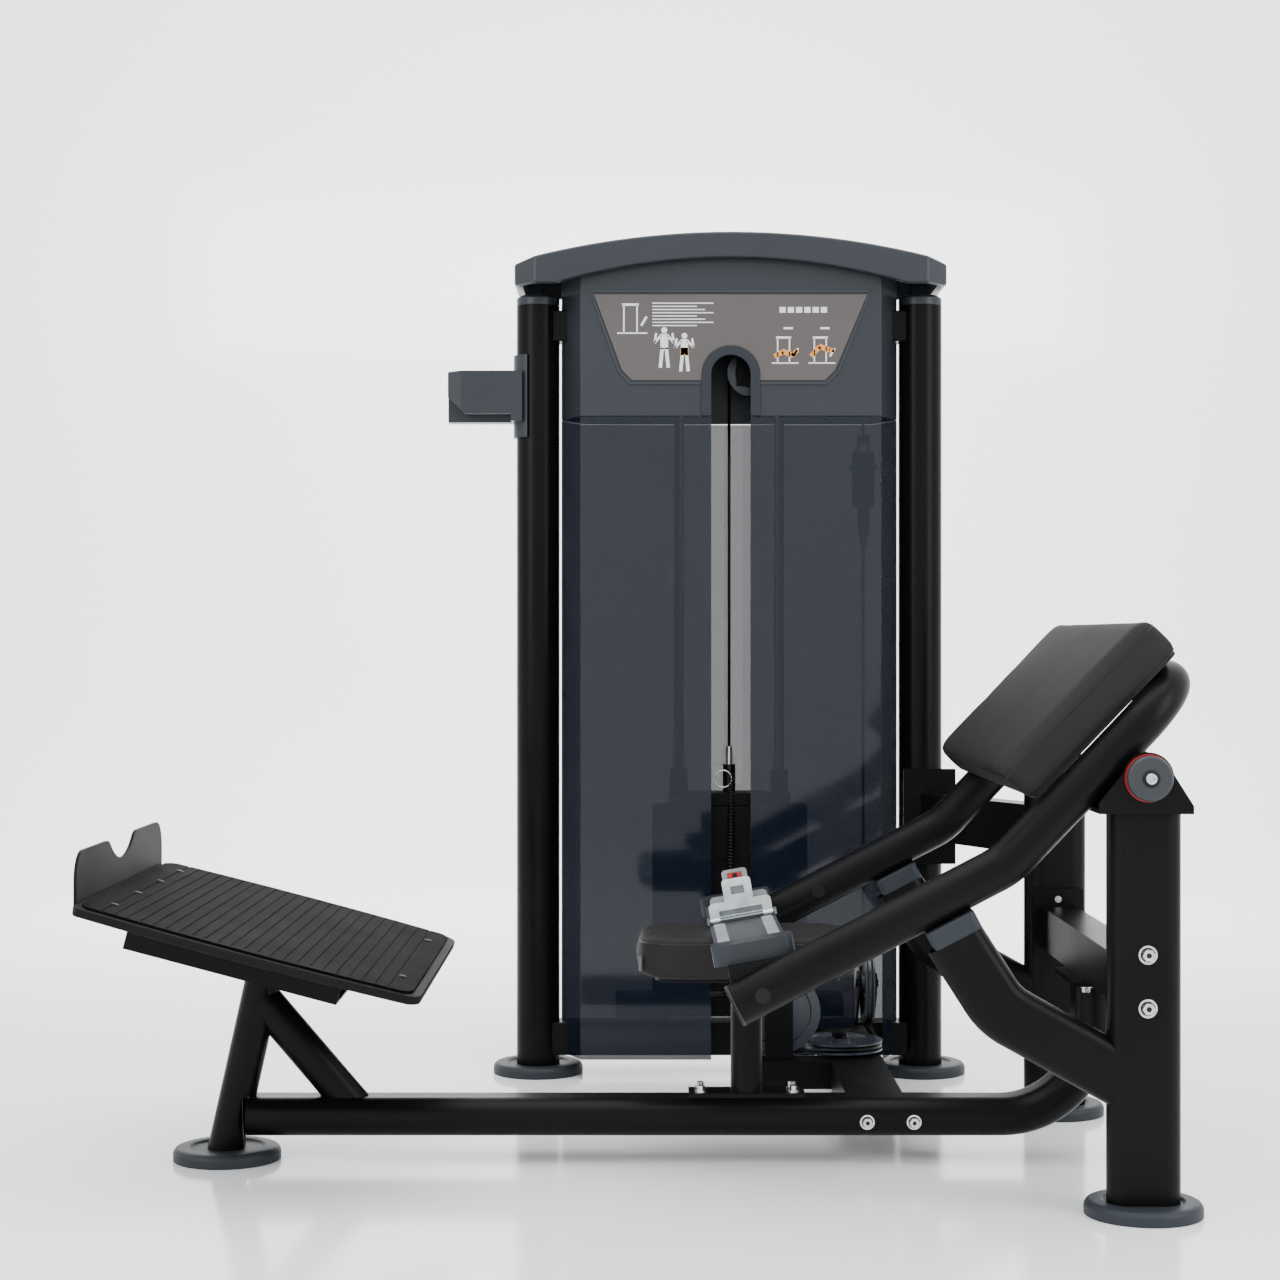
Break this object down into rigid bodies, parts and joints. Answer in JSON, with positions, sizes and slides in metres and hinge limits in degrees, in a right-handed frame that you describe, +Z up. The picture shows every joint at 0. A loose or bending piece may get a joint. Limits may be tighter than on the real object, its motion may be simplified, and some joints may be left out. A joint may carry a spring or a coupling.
{
  "type": "hip thrust machine",
  "caption": "Gym machine for hip thrusts: a low frame with a foot platform and seat, a swinging padded arm with a hip belt, and a cable to a weight stack in a shrouded tower.",
  "frame": {"origin": "middle of the machine's footprint on the floor", "axes": "+X from the foot platform to the back pad, +Y from the front post to the weight tower, +Z up"},
  "size_m": [1.692, 1.3688, 1.64],
  "materials": {
    "frame_black": "satin powder coat",
    "tower_black": "satin powder coat",
    "plate_grey": "fine textured powder coat",
    "slate_plastic": "fine moulded grain",
    "cap_plastic": "satin moulded",
    "foot_rubber": "matt",
    "tread_rubber": "matt, ribbed",
    "pad_vinyl": "soft matt vinyl",
    "seat_vinyl": "soft matt vinyl",
    "tinted_acrylic": "clear gloss",
    "placard_grey": "satin printed",
    "trim_dark": "satin moulded",
    "zinc": "bright zinc",
    "rod_steel": "ground",
    "axle_steel": "turned",
    "weight_iron": "textured coat",
    "cable_black": "nylon coated",
    "belt_fabric": "webbing over foam",
    "buckle_steel": "satin",
    "buckle_dark": "satin",
    "red_plastic": "gloss",
    "board": "painted plywood",
    "pulley_nylon": "machined nylon",
    "plug_black": "satin",
    "pin_black": "gloss"
  },
  "bodies": {
    "frame": {"base_tube": "frame_black", "left_leg": "frame_black", "platform_channel": "frame_black", "footplate": "plate_grey", "tread_mat": "tread_rubber", "toe_plate": "plate_grey", "seat_post": "frame_black", "seat_cushion": "seat_vinyl", "front_post": "frame_black", "rear_post": "frame_black", "crossbeam": "frame_black", "pivot_clevises": "frame_black", "pivot_axles": "axle_steel", "pivot_caps": "cap_plastic", "stop_arms": "frame_black", "rubber_stops": "foot_rubber", "frame_bolts": "zinc", "feet": "foot_rubber", "tower_uprights": "tower_black", "upright_caps": "slate_plastic", "tower_base_beam": "frame_black", "tower_top_beam": "frame_black", "tower_brace": "frame_black", "base_link": "frame_black", "guide_rods": "rod_steel", "stack_base": "frame_black", "resting_plates": "weight_iron", "shroud_cap": "slate_plastic", "fascia": "slate_plastic", "placard": "placard_grey", "slot_trim": "trim_dark", "clear_shields": "tinted_acrylic", "pulley_brackets": "frame_black", "cable_fixed": "cable_black", "device_holder": "slate_plastic", "cable_stack": "cable_black", "cable_drop": "cable_black", "cable_arm": "cable_black"},
    "arm": {"front_arm_tube": "frame_black", "rear_arm_tube": "frame_black", "arm_bow": "frame_black", "arm_plugs": "plug_black", "pad_board": "board", "back_pad": "pad_vinyl", "hip_belt": "belt_fabric", "belt_sleeves": "slate_plastic", "cable_anchor": "frame_black", "buckle_body": "buckle_dark"},
    "buckle": {"buckle_tongue": "buckle_steel"},
    "button": {"release_button": "red_plastic"},
    "stack": {"head_plate": "weight_iron", "selector_stem": "zinc", "lifted_plates": "weight_iron"},
    "pin": {"selector_pin": "pin_black"},
    "adjuster": {"cable_adjuster": "frame_black"},
    "pulley_top_left": {"top_pulley_left": "pulley_nylon"},
    "pulley_top_right": {"top_pulley_right": "pulley_nylon"},
    "pulley_tower": {"tower_pulley": "pulley_nylon"},
    "pulley_flat": {"flat_pulley": "pulley_nylon"},
    "pulley_arm": {"arm_pulley": "pulley_nylon"}
  },
  "joints": [
    {"name": "arm_swing", "type": "hinge", "parent": "frame", "child": "arm", "pos_m": [0.757, -0.2185, 0.65], "axis": [0, 1, 0], "range_deg": [0, 30], "deforming": ["cable_arm"]},
    {"name": "stack_slide", "type": "slide", "parent": "frame", "child": "stack", "axis": [0, 0, 1], "range_m": [0, 0.349], "deforming": ["cable_stack"]},
    {"name": "pin_slide", "type": "slide", "parent": "stack", "child": "pin", "axis": [0, -1, 0], "range_m": [0, 0.11]},
    {"name": "adjuster_slide", "type": "slide", "parent": "frame", "child": "adjuster", "axis": [0, 0, -1], "range_m": [0, 0.349], "deforming": ["cable_drop"]},
    {"name": "top_left_spin", "type": "hinge", "parent": "frame", "child": "pulley_top_left", "pos_m": [0.226, 0.5645, 1.38], "axis": [0, 1, 0], "range_deg": [0, 500]},
    {"name": "top_right_spin", "type": "hinge", "parent": "frame", "child": "pulley_top_right", "pos_m": [0.411, 0.5645, 1.38], "axis": [0, 1, 0], "range_deg": [0, 500]},
    {"name": "tower_spin", "type": "hinge", "parent": "frame", "child": "pulley_tower", "pos_m": [0.451, 0.4895, 0.187], "axis": [-1, 0, 0], "range_deg": [0, 267]},
    {"name": "flat_spin", "type": "hinge", "parent": "frame", "child": "pulley_flat", "pos_m": [0.376, 0.2345, 0.112], "axis": [0, 0, -1], "range_deg": [0, 267]},
    {"name": "arm_pulley_spin", "type": "hinge", "parent": "frame", "child": "pulley_arm", "pos_m": [0.26, 0.1595, 0.183], "axis": [0, 1, 0], "range_deg": [0, 282]},
    {"name": "buckle_fold", "type": "hinge", "parent": "arm", "child": "buckle", "pos_m": [0.17844, -0.2005, 0.39586], "axis": [0.9848, 0, 0.1736], "range_deg": [0, 80]},
    {"name": "release_press", "type": "slide", "parent": "arm", "child": "button", "axis": [0, 1, 0], "range_m": [0, 0.004], "stiffness_N_per_m": 400}
  ],
  "couplings": [
    {"joint": "stack_slide", "follows": "arm_swing", "m_per_rad": 0.6654},
    {"joint": "adjuster_slide", "follows": "arm_swing", "m_per_rad": 0.6654},
    {"joint": "top_left_spin", "follows": "arm_swing", "ratio": 16.635},
    {"joint": "top_right_spin", "follows": "arm_swing", "ratio": 16.635},
    {"joint": "tower_spin", "follows": "arm_swing", "ratio": 8.872},
    {"joint": "flat_spin", "follows": "arm_swing", "ratio": 8.872},
    {"joint": "arm_pulley_spin", "follows": "arm_swing", "ratio": 9.3718}
  ]
}
